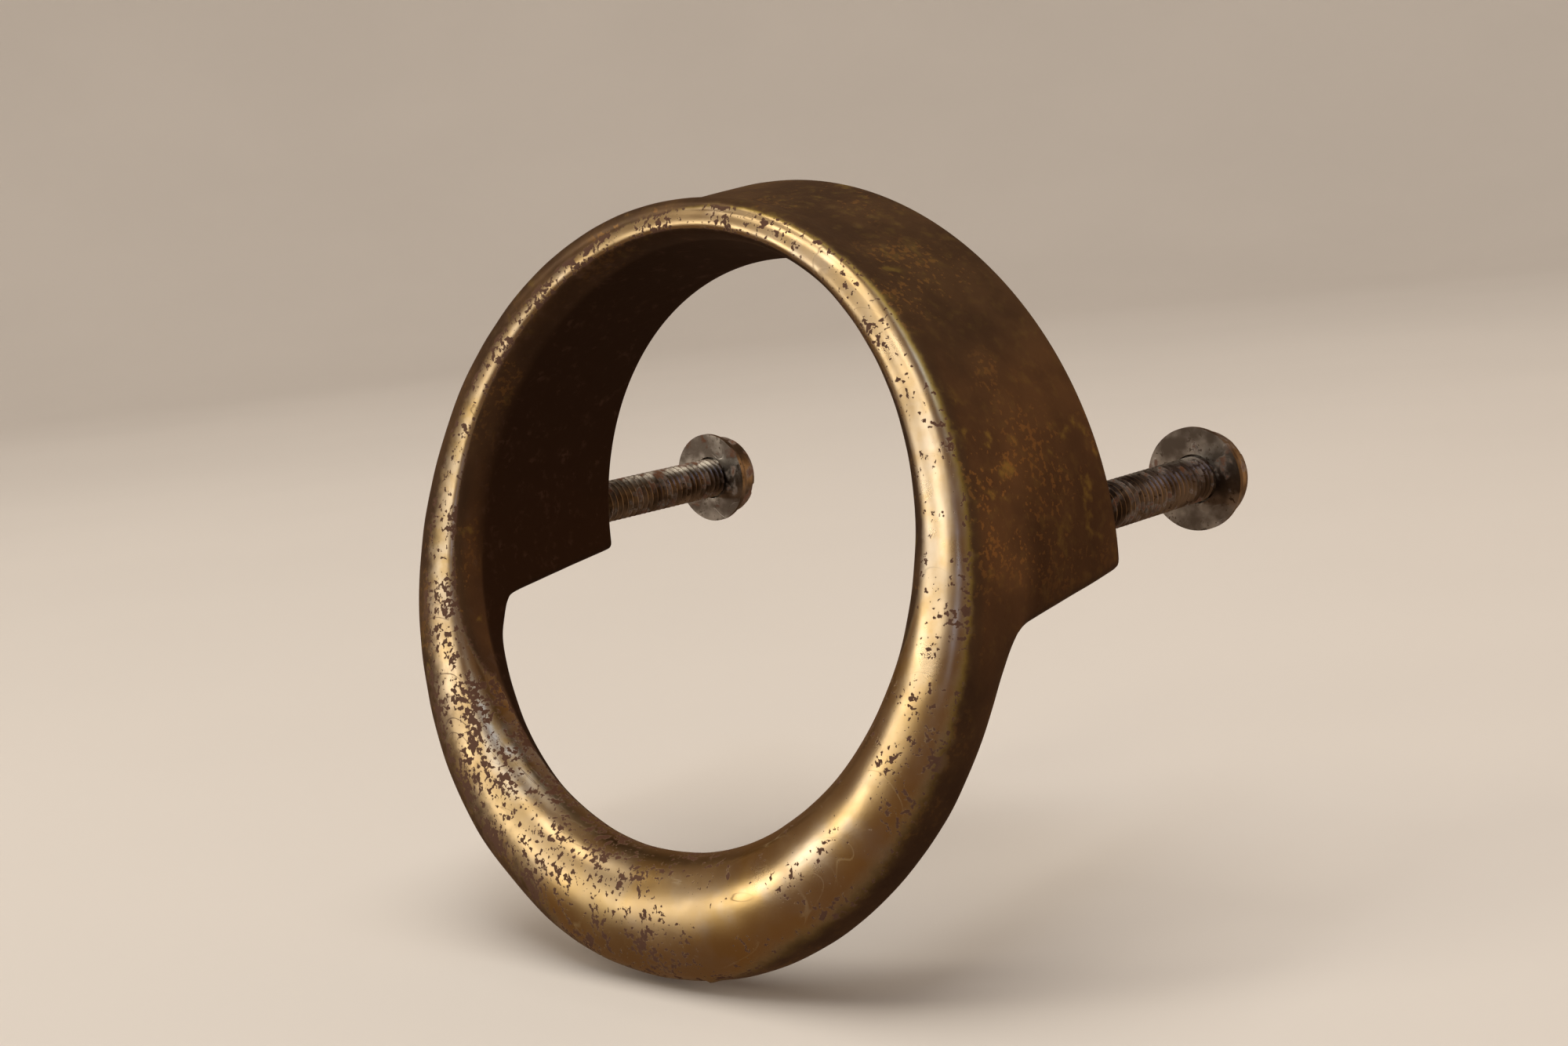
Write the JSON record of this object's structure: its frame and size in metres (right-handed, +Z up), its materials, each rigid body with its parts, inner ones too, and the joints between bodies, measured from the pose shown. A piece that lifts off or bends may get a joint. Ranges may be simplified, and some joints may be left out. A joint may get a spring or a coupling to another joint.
{
  "type": "drawer pull",
  "caption": "Cast brass ring drawer pull: a leaning finger ring whose upper half runs back as a hood to the drawer front, held by slotted screws and washers from behind.",
  "frame": {"origin": "on the drawer front's outer face, midway between the two fixing screws", "axes": "+Y points into the drawer along the screws, +Z is up, and -Y is the side that the hand comes from"},
  "size_m": [0.0658, 0.048, 0.0638],
  "materials": {
    "aged_brass": "cast brass with dark brown patina, worn bright and pitted along the ring's front",
    "screw_steel": "old turned steel, dulled and lightly rusted",
    "washer_steel": "stamped steel, dulled"
  },
  "bodies": {
    "root": {"pull_body": "aged_brass", "left_screw": "screw_steel", "right_screw": "screw_steel", "left_washer": "washer_steel", "right_washer": "washer_steel"}
  },
  "joints": []
}
